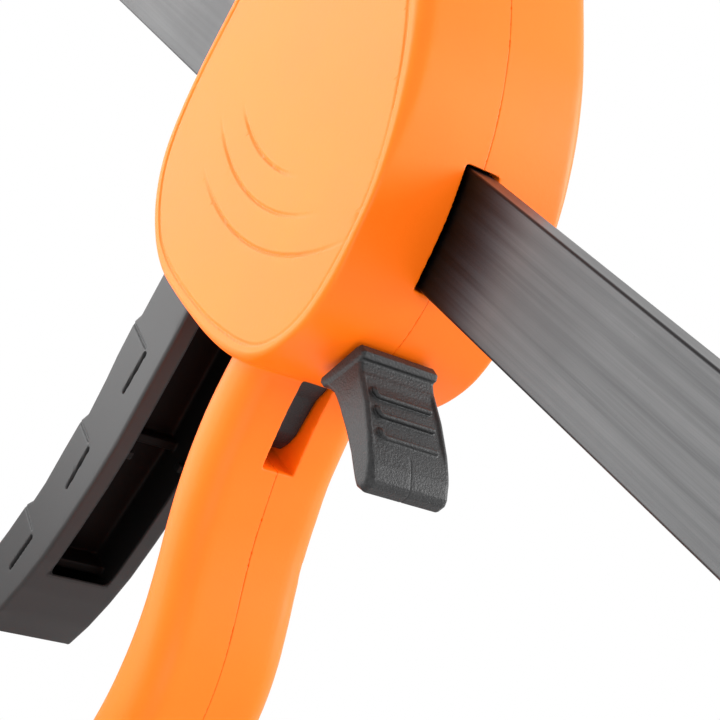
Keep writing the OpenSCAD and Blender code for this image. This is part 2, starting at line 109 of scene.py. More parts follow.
# ------------------------------------------------------------------ distance fields
def steps(*spec):
    """Grid lines from (start, step, start, step, ..., end)."""
    out = []
    for i in range(0, len(spec) - 1, 2):
        a, h, b = spec[i], spec[i + 1] * SC, spec[i + 2]
        n = max(1, int(math.ceil((b - a) / h)))
        out += [a + (b - a) * k / n for k in range(n)]
    out.append(spec[-1])
    return np.array(out, np.float32)


class Grid:
    def __init__(self, X, Y, Z):
        self.X, self.Y, self.Z = (np.asarray(a, np.float32) for a in (X, Y, Z))
        self.x, self.y, self.z = self.X[:, None, None], self.Y[None, :, None], self.Z[None, None, :]

    def part(self, x0, x1, y0, y1, z0, z1):
        """A smaller grid of the same lines, and the slices it covers."""
        s = []
        for a, lo, hi in ((self.X, x0, x1), (self.Y, y0, y1), (self.Z, z0, z1)):
            i = int(np.searchsorted(a, lo))
            j = int(np.searchsorted(a, hi))
            s.append(slice(max(0, i - 1), min(len(a), j + 1)))
        return Grid(self.X[s[0]], self.Y[s[1]], self.Z[s[2]]), tuple(s)

    def poly2(self, P):
        """Distance to a polygon in (u, w), negative inside."""
        P = np.asarray(P, np.float32)
        x, z = self.X[:, None], self.Z[None, :]
        d = np.full((len(self.X), len(self.Z)), 1e9, np.float32)
        out = np.ones(d.shape, bool)
        n = len(P)
        for i in range(n):
            a, b = P[i], P[(i + 1) % n]
            e = b - a
            L = float(e @ e)
            if L < 1e-10:
                continue
            wx, wz = x - a[0], z - a[1]
            t = np.clip((wx * e[0] + wz * e[1]) / L, 0, 1)
            np.minimum(d, (wx - t * e[0]) ** 2 + (wz - t * e[1]) ** 2, out=d)
            if a[1] != b[1]:
                crosses = (a[1] <= z) != (b[1] <= z)
                out ^= crosses & (x < a[0] + (z - a[1]) * (e[0] / e[1]))
        d = np.sqrt(d)
        return np.where(out, d, -d)

    def slab(self, P, y0, y1, r=0.0):
        return ext(self.poly2(P)[:, None, :], np.maximum(y0 - self.y, self.y - y1), r)

    def rod(self, u, w, r, y0, y1, e=0.0):
        return ext((np.hypot(self.X[:, None] - u, self.Z[None, :] - w) - r)[:, None, :], np.maximum(y0 - self.y, self.y - y1), e)

    def box(self, x0, x1, y0, y1, z0, z1, r=0.0):
        a = np.maximum(x0 - self.x, self.x - x1) + r
        b = np.maximum(y0 - self.y, self.y - y1) + r
        c = np.maximum(z0 - self.z, self.z - z1) + r
        if r <= 0:
            return np.maximum(np.maximum(a, b), c)
        return (np.minimum(np.maximum(np.maximum(a, b), c), 0)
                + np.sqrt(np.maximum(a, 0) ** 2 + np.maximum(b, 0) ** 2 + np.maximum(c, 0) ** 2) - r)

    def tube(self, pts, r):
        """Round bead along a line of points in (u, y, w)."""
        d = None
        for p, q in zip(pts[:-1], pts[1:]):
            p, q = np.array(p, np.float32), np.array(q, np.float32)
            e = q - p
            L = float(e @ e)
            wx, wy, wz = self.x - p[0], self.y - p[1], self.z - p[2]
            t = np.clip((wx * e[0] + wy * e[1] + wz * e[2]) / L, 0, 1)
            k = (wx - t * e[0]) ** 2 + (wy - t * e[1]) ** 2 + (wz - t * e[2]) ** 2
            d = k if d is None else np.minimum(d, k)
        return np.sqrt(d) - r


def ext(a, b, r):
    """Both fields at once, with a round of radius r where they meet."""
    if r <= 0:
        return np.maximum(a, b)
    a, b = a + r, b + r
    return np.minimum(np.maximum(a, b), 0) + np.sqrt(np.maximum(a, 0) ** 2 + np.maximum(b, 0) ** 2) - r


def smin(a, b, k):
    h = np.clip(0.5 + 0.5 * (b - a) / k, 0, 1)
    return b + (a - b) * h - k * h * (1 - h)


def smax(a, b, k):
    return -smin(-a, -b, k)


def ramp(v, a, b):
    t = np.clip((v - a) / (b - a), 0, 1)
    return t * t * (3 - 2 * t)


def line2(g, pts):
    """Distance to an open line in (u, w), and how far along it the nearest point lies, 0 to 1."""
    x, z = g.X[:, None], g.Z[None, :]
    best = np.full((len(g.X), len(g.Z)), 1e9, np.float32)
    along = np.zeros(best.shape, np.float32)
    lengths = [math.dist(p, q) for p, q in zip(pts[:-1], pts[1:])]
    total, done = sum(lengths), 0.0
    for p, q, L in zip(pts[:-1], pts[1:], lengths):
        ex, ez = q[0] - p[0], q[1] - p[1]
        wx, wz = x - p[0], z - p[1]
        t = np.clip((wx * ex + wz * ez) / (L * L), 0, 1)
        d = np.hypot(wx - t * ex, wz - t * ez)
        near = d < best
        best = np.where(near, d, best)
        along = np.where(near, (done + t * L) / total, along)
        done += L
    return best, along


# ------------------------------------------------------------------ meshes
def add_mesh(name, verts, faces, body, mat, nodes, angle=50, housing=True):
    """faces is a list of integer arrays, each with faces of one size. verts are in mm."""
    v = np.array(verts, float)
    if housing:
        v = v + np.array([HX, 0, HZ])
    v = v * 0.001
    me = bpy.data.meshes.new(name)
    me.vertices.add(len(v))
    me.vertices.foreach_set("co", v.astype(np.float32).ravel())
    loops = np.concatenate([f.ravel() for f in faces if len(f)]).astype(np.int32)
    sizes = np.concatenate([np.full(len(f), f.shape[1]) for f in faces if len(f)])
    starts = np.concatenate([[0], np.cumsum(sizes)[:-1]]).astype(np.int32)
    me.loops.add(len(loops))
    me.loops.foreach_set("vertex_index", loops)
    me.polygons.add(len(sizes))
    me.polygons.foreach_set("loop_start", starts)
    me.update(calc_edges=True)
    me.validate()
    me.polygons.foreach_set("use_smooth", np.ones(len(me.polygons), bool))
    if angle:
        me.set_sharp_from_angle(angle=math.radians(angle))
    me.materials.append(mat)
    ob = bpy.data.objects.new(name, me)
    bpy.context.scene.collection.objects.link(ob)
    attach(ob, body)
    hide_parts(*nodes)
    return ob


def skin(g, f, adapt=0.0):
    """Points in mm and faces, wound outwards, where the field is zero."""
    h = float(np.median(np.diff(g.X)))
    grid = openvdb.FloatGrid(background=3 * h)
    grid.copyFromArray(np.ascontiguousarray(np.clip(f, -3 * h, 3 * h), np.float32))
    pts, tris, quads = grid.convertToPolygons(0.0, adapt)
    v = np.stack([np.interp(pts[:, k], np.arange(len(a)), a) for k, a in enumerate((g.X, g.Y, g.Z))], 1)
    faces = [np.asarray(quads, np.int64).reshape(-1, 4), np.asarray(tris, np.int64).reshape(-1, 3)]
    q = faces[0]
    if len(q):
        vol = np.einsum("ij,ij->i", v[q[:, 0]], np.cross(v[q[:, 1]], v[q[:, 2]])).sum() \
            + np.einsum("ij,ij->i", v[q[:, 0]], np.cross(v[q[:, 2]], v[q[:, 3]])).sum()
        if vol < 0:
            faces = [a[:, ::-1] for a in faces]
    return v, faces


def joined(parts):
    vs, quads, tris, n = [], [], [], 0
    for v, fs in parts:
        vs.append(v)
        for f in fs:
            if len(f):
                (quads if f.shape[1] == 4 else tris).append(f + n)
        n += len(v)
    out = []
    if quads:
        out.append(np.vstack(quads))
    if tris:
        out.append(np.vstack(tris))
    return np.vstack(vs), out


# ------------------------------------------------------------------ materials
class Mat:
    def __init__(self, name):
        self.m = bpy.data.materials.new(name)
        self.m.use_nodes = True
        self.t = self.m.node_tree
        self.bsdf = self.t.nodes["Principled BSDF"]
        self.co = self.n("ShaderNodeTexCoord").outputs["Object"]

    def n(self, kind, **kw):
        node = self.t.nodes.new(kind)
        for k, v in kw.items():
            setattr(node, k, v)
        return node

    def link(self, a, b):
        self.t.links.new(a, b)

    def noise(self, scale, detail=2.0, rough=0.5, stretch=None, offset=None):
        co = self.co
        if stretch or offset:
            mp = self.n("ShaderNodeMapping")
            if stretch:
                mp.inputs["Scale"].default_value = stretch
            if offset:
                mp.inputs["Location"].default_value = offset
            self.link(co, mp.inputs["Vector"])
            co = mp.outputs["Vector"]
        t = self.n("ShaderNodeTexNoise")
        t.inputs["Scale"].default_value = scale
        t.inputs["Detail"].default_value = detail
        t.inputs["Roughness"].default_value = rough
        self.link(co, t.inputs["Vector"])
        return t.outputs["Fac"]

    def voronoi(self, scale, feature="F1"):
        t = self.n("ShaderNodeTexVoronoi", feature=feature)
        t.inputs["Scale"].default_value = scale
        self.link(self.co, t.inputs["Vector"])
        return t.outputs["Distance"]

    def ramp(self, fac, stops):
        r = self.n("ShaderNodeValToRGB")
        el = r.color_ramp.elements
        while len(el) < len(stops):
            el.new(0.5)
        for e, (p, c) in zip(el, stops):
            e.position = p
            e.color = (*c, 1) if len(c) == 3 else c
        self.link(fac, r.inputs["Fac"])
        return r.outputs["Color"]

    def span(self, fac, a, b, lo=0.0, hi=1.0):
        r = self.n("ShaderNodeMapRange")
        r.inputs["From Min"].default_value = lo
        r.inputs["From Max"].default_value = hi
        r.inputs["To Min"].default_value = a
        r.inputs["To Max"].default_value = b
        self.link(fac, r.inputs["Value"])
        return r.outputs["Result"]

    def math(self, op, a, b):
        m = self.n("ShaderNodeMath", operation=op)
        for i, v in enumerate((a, b)):
            if isinstance(v, (int, float)):
                m.inputs[i].default_value = v
            else:
                self.link(v, m.inputs[i])
        return m.outputs[0]

    def mix(self, fac, a, b):
        m = self.n("ShaderNodeMix", data_type="RGBA")
        ins = [i for i in m.inputs if i.type == "RGBA"]
        if isinstance(fac, (int, float)):
            m.inputs["Factor"].default_value = fac
        else:
            self.link(fac, m.inputs["Factor"])
        for sock, v in zip(ins, (a, b)):
            if isinstance(v, (tuple, list)):
                sock.default_value = (*v, 1)
            else:
                self.link(v, sock)
        return [o for o in m.outputs if o.type == "RGBA"][0]

    def bump(self, height, strength, distance, after=None):
        b = self.n("ShaderNodeBump")
        b.inputs["Strength"].default_value = strength
        b.inputs["Distance"].default_value = distance
        self.link(height, b.inputs["Height"])
        if after is not None:
            self.link(after, b.inputs["Normal"])
        return b.outputs["Normal"]

    def done(self, color=None, rough=None, normal=None, **fixed):
        if color is not None:
            self.link(color, self.bsdf.inputs["Base Color"])
        if rough is not None:
            self.link(rough, self.bsdf.inputs["Roughness"])
        if normal is not None:
            self.link(normal, self.bsdf.inputs["Normal"])
        for k, v in fixed.items():
            self.bsdf.inputs[k.replace("_", " ")].default_value = v
        return self.m


def orange_plastic():
    m = Mat("orange_moulded_plastic")
    slow = m.noise(45, 3)
    fine = m.noise(2600, 3, 0.6)
    col = m.mix(m.span(slow, 0, 1, 0.3, 0.7), (0.99, 0.150, 0.001), (1.0, 0.163, 0.002))
    col = m.mix(m.span(fine, 0.0, 0.08, 0.35, 0.75), col, (1.0, 0.225, 0.012))
    rough = m.math("ADD", m.span(fine, -0.04, 0.04), m.span(slow, 0.40, 0.48))
    nor = m.bump(fine, 0.22, 0.00006)
    nor = m.bump(m.noise(650, 2), 0.10, 0.00012, nor)
    return m.done(col, rough, nor, Specular_IOR_Level=0.25)


def black_plastic():
    m = Mat("black_grained_plastic")
    slow = m.noise(60, 3)
    grain = m.voronoi(2300)
    fine = m.noise(3600, 3, 0.6)
    col = m.mix(m.span(slow, 0, 1, 0.3, 0.7), (0.0065, 0.0067, 0.007), (0.0100, 0.0102, 0.0106))
    col = m.mix(m.span(fine, 0.0, 0.4, 0.45, 0.75), col, (0.045, 0.0455, 0.047))
    rough = m.math("ADD", m.span(fine, -0.08, 0.10), m.span(slow, 0.42, 0.50))
    nor = m.bump(grain, 0.32, 0.00012)
    nor = m.bump(fine, 0.55, 0.0001, nor)
    return m.done(col, rough, nor, Specular_IOR_Level=0.33)


def trigger_plastic():
    m = Mat("black_smooth_plastic")
    slow = m.noise(60, 3)
    fine = m.noise(3000, 3, 0.6)
    col = m.mix(m.span(slow, 0, 1, 0.3, 0.7), (0.012, 0.012, 0.0125), (0.016, 0.016, 0.0165))
    # painted shade: the inside of the channel is coloured near black and given less specular, as shade in the recess
    inner = m.n("ShaderNodeAttribute", attribute_name="channel").outputs["Fac"]
    col = m.mix(inner, col, (0.004, 0.004, 0.004))
    m.link(m.span(inner, 0.36, 0.08), m.bsdf.inputs["Specular IOR Level"])
    rough = m.math("ADD", m.span(fine, -0.03, 0.03), m.span(slow, 0.40, 0.48))
    nor = m.bump(fine, 0.2, 0.00006)
    return m.done(col, rough, nor)


def rubber():
    m = Mat("pad_rubber_grained")
    slow = m.noise(90, 3)
    fine = m.noise(2200, 4, 0.65)
    col = m.mix(m.span(slow, 0, 1, 0.3, 0.7), (0.026, 0.026, 0.027), (0.038, 0.038, 0.039))
    rough = m.math("ADD", m.span(fine, -0.06, 0.06), m.span(slow, 0.66, 0.78))
    nor = m.bump(fine, 0.5, 0.00012)
    return m.done(col, rough, nor, Specular_IOR_Level=0.35)


def bar_steel():
    m = Mat("drawn_bar_steel")
    streak = m.noise(1.0, 4, 0.6, stretch=(14, 900, 900))
    thin = m.noise(1.0, 3, 0.6, stretch=(40, 3600, 3600), offset=(3, 1, 2))
    cloud = m.noise(38, 4, 0.55)
    pits = m.noise(1500, 2, 0.5)
    col = m.mix(m.span(streak, 0, 1, 0.3, 0.7), (0.051, 0.0515, 0.0525), (0.086, 0.0865, 0.0875))
    col = m.mix(m.span(cloud, 0.0, 0.3, 0.45, 0.75), col, (0.051, 0.0515, 0.0525))
    col = m.mix(m.span(pits, 0.0, 0.3, 0.7, 0.85), col, (0.036, 0.036, 0.037))
    # painted shade: the rounded long edges of the bar are coloured darker
    place = m.n("ShaderNodeSeparateXYZ")
    m.link(m.co, place.inputs[0])
    side = m.span(m.math("ABSOLUTE", place.outputs[1], 0.0), 0.0, 1.0, 0.00245, 0.0027)
    edge_shade = m.math("MULTIPLY", side, 1.0)
    up = m.n("ShaderNodeMath", operation="ADD")
    m.link(place.outputs[2], up.inputs[0])
    up.inputs[1].default_value = 0.054
    edge_shade = m.math("MULTIPLY", edge_shade, m.span(m.math("ABSOLUTE", up.outputs[0], 0.0), 0.0, 1.0, 0.00945, 0.0097))
    col = m.mix(edge_shade, col, (0.022, 0.022, 0.023))
    # painted shade: ambient occlusion darkens the colour, with a blue tint, where other pieces stand close to the bar
    near = m.n("ShaderNodeAmbientOcclusion", samples=16)
    near.inputs["Distance"].default_value = 0.020
    ao_shade = m.ramp(near.outputs["AO"], [(0.5, (0.03, 0.10, 0.16)), (0.62, (0.09, 0.25, 0.38)), (0.74, (0.24, 0.44, 0.58)),
                                       (0.87, (0.60, 0.78, 0.88)), (0.98, (1, 1, 1))])
    tint = m.n("ShaderNodeMix", data_type="RGBA", blend_type="MULTIPLY")
    tint.inputs["Factor"].default_value = 1.0
    ins = [i for i in tint.inputs if i.type == "RGBA"]
    m.link(col, ins[0])
    m.link(ao_shade, ins[1])
    col = [o for o in tint.outputs if o.type == "RGBA"][0]
    rough = m.math("ADD", m.span(streak, -0.04, 0.04, 0.3, 0.7), m.span(cloud, 0.38, 0.46, 0.3, 0.7))
    nor = m.bump(thin, 0.2, 0.00005)
    nor = m.bump(streak, 0.08, 0.0001, nor)
    return m.done(col, rough, nor, Metallic=1.0)


def plate_steel():
    m = Mat("hardened_plate_steel")
    cloud = m.noise(120, 4, 0.6)
    scratch = m.noise(1.0, 3, 0.6, stretch=(3000, 60, 3000))
    col = m.mix(m.span(cloud, 0, 1, 0.3, 0.7), (0.20, 0.20, 0.205), (0.33, 0.33, 0.34))
    rough = m.math("ADD", m.span(scratch, -0.06, 0.06, 0.3, 0.7), m.span(cloud, 0.34, 0.48, 0.3, 0.7))
    nor = m.bump(scratch, 0.25, 0.00006)
    return m.done(col, rough, nor, Metallic=0.9)


def zinc():
    m = Mat("zinc_plated_steel")
    cloud = m.noise(260, 4, 0.6)
    fine = m.noise(2600, 3, 0.6)
    col = m.mix(m.span(cloud, 0, 1, 0.3, 0.7), (0.46, 0.47, 0.49), (0.62, 0.62, 0.63))
    rough = m.math("ADD", m.span(fine, -0.04, 0.05), m.span(cloud, 0.22, 0.34, 0.3, 0.7))
    nor = m.bump(fine, 0.15, 0.00005)
    return m.done(col, rough, nor, Metallic=1.0)


def spring_steel():
    m = Mat("spring_wire_steel")
    cloud = m.noise(400, 4, 0.6)
    fine = m.noise(4000, 3, 0.6)
    col = m.mix(m.span(cloud, 0, 1, 0.3, 0.7), (0.32, 0.325, 0.34), (0.48, 0.48, 0.50))
    rough = m.math("ADD", m.span(fine, -0.05, 0.05), m.span(cloud, 0.24, 0.36, 0.3, 0.7))
    nor = m.bump(fine, 0.2, 0.00004)
    return m.done(col, rough, nor, Metallic=1.0)


ORANGE, BLACK, TRIG, RUBBER = orange_plastic(), black_plastic(), trigger_plastic(), rubber()
BARM, PLATE, ZINC, WIRE = bar_steel(), plate_steel(), zinc(), spring_steel()


# ------------------------------------------------------------------ housing
def housing_field():
    """One half of the housing on the +Y side, without its screws."""
    g = Grid(steps(-72.5, 0.25, 5.2),
             steps(-0.14, 0.07, 0.28, 0.2, 0.9, 0.42, 2.9, 0.13, 3.8, 0.42, 6.4, 0.16, 7.2, 0.42, 14.0, 0.17, 18.4),
             steps(-127.5, 0.45, -56, 0.24, 22, 0.36, 81))
    d2, dp = g.poly2(BODY), g.poly2(PANEL)
    e = np.maximum(dp - d2, 0.45)
    crest = np.minimum((0.35 + 0.6 * ramp(g.X, -57, -46))[:, None], 0.42 * e)
    A = (np.maximum(dp - crest, 0) / (e - crest))[:, None, :]
    Ry = np.clip(e * (0.48 + 0.47 * ramp(e, 1.0, 2.6)), 0.3, 3.2)[:, None, :]
    B = np.maximum(0, (g.y - 18 + Ry) / Ry)
    f = (np.sqrt(A * A + B * B) - 1) * Ry
    f = np.maximum(f, d2[:, None, :])
    # line round the panel, with three plain shallow arcs inside it
    rear = ramp(g.X, -16, -5)[:, None]
    sink = 0.1 * ramp(-dp, 0.0, 0.4) + (0.42 - 0.17 * rear) * (1 - ramp(np.abs(dp), 0.06, 0.44 - 0.12 * rear))
    for r, a0, a1 in ((31, 238, 292), (37.5, 234, 306), (44, 243, 320)):
        pts = [(-33 + r * math.cos(math.radians(a)), 24 + r * math.sin(math.radians(a))) for a in np.linspace(a0, a1, 26)]
        d, t = line2(g, pts)
        sink = np.maximum(sink, 0.1 + 0.36 * (1 - ramp(d, 0.05, 0.42)) * ramp(t, 0, 0.22) * (1 - ramp(t, 0.7, 1)))
    f = np.maximum(f, g.y - (18 - sink)[:, None, :])
    # handle
    gh, s = g.part(-34, 5.2, -1, 19, -128, -29)
    h = smin(gh.slab(HANDLE, -40, 13.3, 5.4), gh.slab(HANDLE_WEB, -40, 5, 1.4), 1.2)
    f[s] = smin(f[s], h, 0.9)
    # hollow of the body
    hollow = ext((d2 + 3)[:, None, :], g.y - 15, 1.0)
    f = np.maximum(f, -hollow)
    # guides, ribs and bosses inside
    gi, s = g.part(-71, -8, -1, 17, -35, 70)
    inner = gi.box(-69, -62.5, -2, 15.5, -20, 24, 0.3)
    for b in ((-26, -24, -34, 24), (-67.5, -12, 23.4, 25.4), (-23.4, -20.9, 14.6, 24), (-13.9, -11.4, 14.6, 24)):
        inner = np.minimum(inner, gi.box(b[0], b[1], -2, 15.5, b[2], b[3], 0.25))
    inner = np.minimum(inner, gi.rod(-55.5, 16.5, 5.5, 10.5, 15.5, 0.3))
    for p in ([[-68, 40], [-33, 40], [-31.4, 42], [-68, 42]], [[-68, 56], [-47, 56], [-45.4, 58], [-68, 58]],
              [[-42, 24], [-40, 24], [-56, 57], [-58, 57]]):
        inner = np.minimum(inner, gi.slab(p, -2, 15.5))
    for u, w in SCREWS:
        if w > -40:
            inner = np.minimum(inner, gi.rod(u, w, 4.6, -2, 15.5))
    inner = np.maximum(inner, np.maximum((gi.poly2(BODY) + 1.2)[:, None, :], gi.y - 16.5))
    f[s] = smin(f[s], inner, 0.5)
    gi, s = g.part(-14, -3, -1, 17, -23, -12)
    f[s] = np.minimum(f[s], np.maximum(gi.rod(-8.5, -17.5, 4.2, 8, 15.5, 0.3), (gi.poly2(BODY) + 1.2)[:, None, :]))

    def cut(x0, x1, y1, z0, z1, field, k=0.0):
        gc, s = g.part(x0 - 1.5, x1 + 1.5, -1, y1 + 1.5, z0 - 1.5, z1 + 1.5)
        c = field(gc)
        f[s] = smax(f[s], -c, k) if k else np.maximum(f[s], -c)

    # hollow of the handle
    cut(-14, -6, 10, -78, -71, lambda q: q.slab([[-13.5, -71.5], [-9.2, -71.5], [-6.2, -77.5], [-9.6, -77.5]], -2, 10))
    cut(-8, 1, 10, -106, -90, lambda q: q.slab([[-7.6, -91], [-1.2, -90], [0.2, -104], [-7.4, -106]], -2, 10))
    # running slots for the bar
    cut(-74, -60, 3.5, -10.4, 10.4, lambda q: q.box(-80, -60, -2, 3.5, -10.4, 10.4))
    cut(-27, -23, 3.5, -10.4, 10.4, lambda q: q.box(-27, -23, -2, 3.5, -10.4, 10.4))
    cut(-10, 5, 3.5, -10.3, 10.4, lambda q: q.box(-10, 9, -2, 3.5, -10.3, 10.4, 0.5), 0.16)
    # mouths of the trigger and the release lever, and the slot in the handle
    cut(-62.4, -30.4, 10.6, -42, -24.5, lambda q: q.box(-62.4, -30.4, -2, 10.6, -46, -24.5, 0.5), 0.3)
    cut(-9.8, 3, 4.7, -31, -22.5, lambda q: q.slab([[-9.8, -22.5], [3, -22.5], [3, -31], [-5, -31], [-6.2, -29.2], [-9.8, -25.6]], -2, 4.7, 0.3), 0.2)
    cut(-15, 3, 3.2, -32.6, -22.5, lambda q: q.slab([[-15, -22.5], [3, -22.5], [3, -26], [-6.2, -30.2], [-9.5, -30.2], [-12, -31], [-15, -32.6]], -2, 3.2), 0.15)
    cut(-29.6, -6, 3.2, -51.2, -29, lambda q: q.slab([[-29.6, -31], [-26.6, -31], [-26.2, -30.2], [-16, -30.2], [-14.9, -31], [-14.9, -34.4], [-14.4, -35.2], [-6, -35.2], [-6, -51.2], [-29.6, -51.2]], -2, 3.2, 0.3), 0.2)
    # bores of the pivot pins
    cut(-58.1, -52.9, 14.2, 14, 19, lambda q: q.rod(-55.5, 16.5, 2.52, -2, 14.2))
    cut(-10.6, -6.4, 14.2, -19.6, -15.4, lambda q: q.rod(-8.5, -17.5, 2.02, -2, 14.2))
    # seat of the pad and its tongue's slot
    cut(-72.5, -70, 18.4, 33, 75, lambda q: q.box(-80, -70, -2, 30, 33, 75))
    cut(-72.5, -66.9, 5.1, 41.9, 66.1, lambda q: q.box(-80, -66.9, -2, 5.1, 41.9, 66.1))
    return g, f


def finish_half(g, f, screw_side):
    f = f.copy()
    for u, w in SCREWS:
        gc, s = g.part(u - 5, u + 5, -1, 18.5, w - 5, w + 5)
        if screw_side:
            c = np.minimum(gc.rod(u, w, 2.1, -2, 19), gc.rod(u, w, 3.9, 9 if w < -40 else 13.5, 30))
            f[s] = smax(f[s], -c, 0.25)
        else:
            f[s] = np.maximum(f[s], -gc.rod(u, w, 1.92, -2, 10))
    # fine line where the halves meet
    f = np.maximum(f, f + 0.05 - g.y)
    f = np.maximum(f, 0.012 - g.y)
    v, faces = skin(g, f, 0.008)
    if not screw_side:
        v = v * np.array([1, -1, 1])
        faces = [a[:, ::-1] for a in faces]
    return v, faces


g_h, f_h = housing_field()
for side, node in ((True, "housing_right"), (False, "housing_left")):
    v, faces = finish_half(g_h, f_h, side)
    add_mesh("housing_shell_right" if side else "housing_shell_left", v, faces, "housing", ORANGE, [node])
del g_h, f_h


# ------------------------------------------------------------------ screws
def screw_mesh():
    g = Grid(steps(-3.9, 0.14, 3.9), steps(-18.7, 0.6, -1, 0.12, 2.5), steps(-3.9, 0.14, 3.9))
    r = np.hypot(g.X[:, None], g.Z[None, :])[:, None, :]
    shank = ext(r - 1.9, np.maximum(-18.4 - g.y, g.y - 0.6), 0.4)
    dome = np.sqrt(r ** 2 + (g.y + 3.3) ** 2) - 5.5
    head = np.maximum(ext(r - 3.6, np.maximum(-g.y, g.y - 2.2), 0.35), dome)
    f = np.minimum(shank, head)
    arm = np.minimum(np.maximum(np.abs(g.x) - 0.5, np.abs(g.z) - 2.1), np.maximum(np.abs(g.z) - 0.5, np.abs(g.x) - 2.1))
    f = smax(f, -np.maximum(arm + 0.35 * (2.2 - g.y), 0.9 - g.y), 0.12)
    return skin(g, f, 0.01)


sv, sf = screw_mesh()
parts = []
for i, (u, w) in enumerate(SCREWS):
    a = math.radians(17 + 61 * i)
    c, s = math.cos(a), math.sin(a)
    seat = 9 if w < -40 else 13.5
    parts.append((np.stack([u + sv[:, 0] * c - sv[:, 2] * s, seat + sv[:, 1], w + sv[:, 0] * s + sv[:, 2] * c], 1),
                  sf))
v, faces = joined(parts)
add_mesh("shell_screws", v, faces, "housing", ZINC, ["housing_screws"])


# ------------------------------------------------------------------ trigger
def trigger_mesh():
    g = Grid(steps(-74, 0.24, -45.6),
             steps(-10.5, 0.14, -9.2, 0.3, -7.2, 0.2, -5.6, 0.45, 5.6, 0.2, 7.2, 0.3, 9.2, 0.14, 10.5),
             steps(-123, 0.24, -22, 0.4, 23.6))
    ay = np.abs(g.y)
    side = g.poly2(TRIG_SIDE)[:, None, :]
    f = ext(side, ay - 10, 0.7)
    f = np.minimum(f, ext((np.hypot(g.X[:, None] + 55.5, g.Z[None, :] - 16.5) - 6.3)[:, None, :], ay - 10, 0.7))
    chan = ext(g.poly2(TRIG_FLOOR)[:, None, :], ay - 6.3, 0.8)
    f = smax(f, -chan, 0.35)
    f = smax(f, -g.box(-76, -40, -6.3, 6.3, -12.6, 40, 0.0), 0.3)
    # ribs of the channel
    for x0, x1, w in ((-60, -54.6, -69.5), (-64, -57, -100)):
        gr, s = g.part(x0 - 1, x1 + 1, -7.5, 7.5, w - 2, w + 2)
        f[s] = smin(f[s], gr.box(x0, x1, -6.8, 6.8, w - 0.95, w + 0.95, 0.25), 0.5)
    # small lug on the channel's edge
    for w in (-71.0,):
        gr, s = g.part(-52, -45.6, -7.5, 7.5, w - 2, w + 2)
        for sg in (-1, 1):
            f[s] = np.minimum(f[s], np.maximum(gr.box(-50.4, -47.9, sg * 6.1 - 1.1, sg * 6.1 + 1.1, w - 0.8, w + 0.8, 0.2), gr.poly2(TRIG_SIDE)[:, None, :] + 0.6))
    # grip marks on both sides
    for p, q, a, b in (((-62.6, -50.8), (-54.0, -52.0), (-53.3, -52.9), (-53.9, -61.1)),
                       ((-64.2, -73.0), (-56.9, -74.0), (-55.7, -75.1), (-56.3, -83.7)),
                       ((-68.2, -94.8), (-60.6, -96.3), (-59.5, -97.5), (-61.3, -105.6))):
        gr, s = g.part(-70, -52, -11, 11, b[1] - 3, p[1] + 3)
        thin, _ = line2(gr, [p, q])
        deep, _ = line2(gr, [a, b])
        depth = np.maximum(0.38 * (1 - ramp(thin, 0.05, 0.42)), 1.1 * (1 - ramp(deep, 0.28, 0.62)))
        f[s] = np.maximum(f[s], np.abs(gr.y) - (10 - depth)[:, None, :])
    # bores
    f = np.maximum(f, -g.rod(-55.5, 16.5, 2.56, -20, 20))
    f = np.maximum(f, -g.rod(-51, -17.5, 2.51, -20, 20))
    v, faces = skin(g, f, 0.006)
    ob = add_mesh("trigger_lever", v, faces, "trigger", TRIG, ["trigger"])
    # painted shade mask: 1 inside the channel, 0 on the outside; the material paints the inside of the channel darker
    # and less glossy as shade
    i, k = (np.rint(np.interp(v[:, c], a, np.arange(len(a)))).astype(int) for c, a in ((0, g.X), (2, g.Z)))
    inner = (1 - ramp(g.poly2(TRIG_FLOOR)[i, k], 0.1, 0.7)) * (1 - ramp(np.abs(v[:, 1]), 6.35, 6.8))
    ob.data.attributes.new("channel", "FLOAT", "POINT").data.foreach_set("value", inner.astype(np.float32))


trigger_mesh()


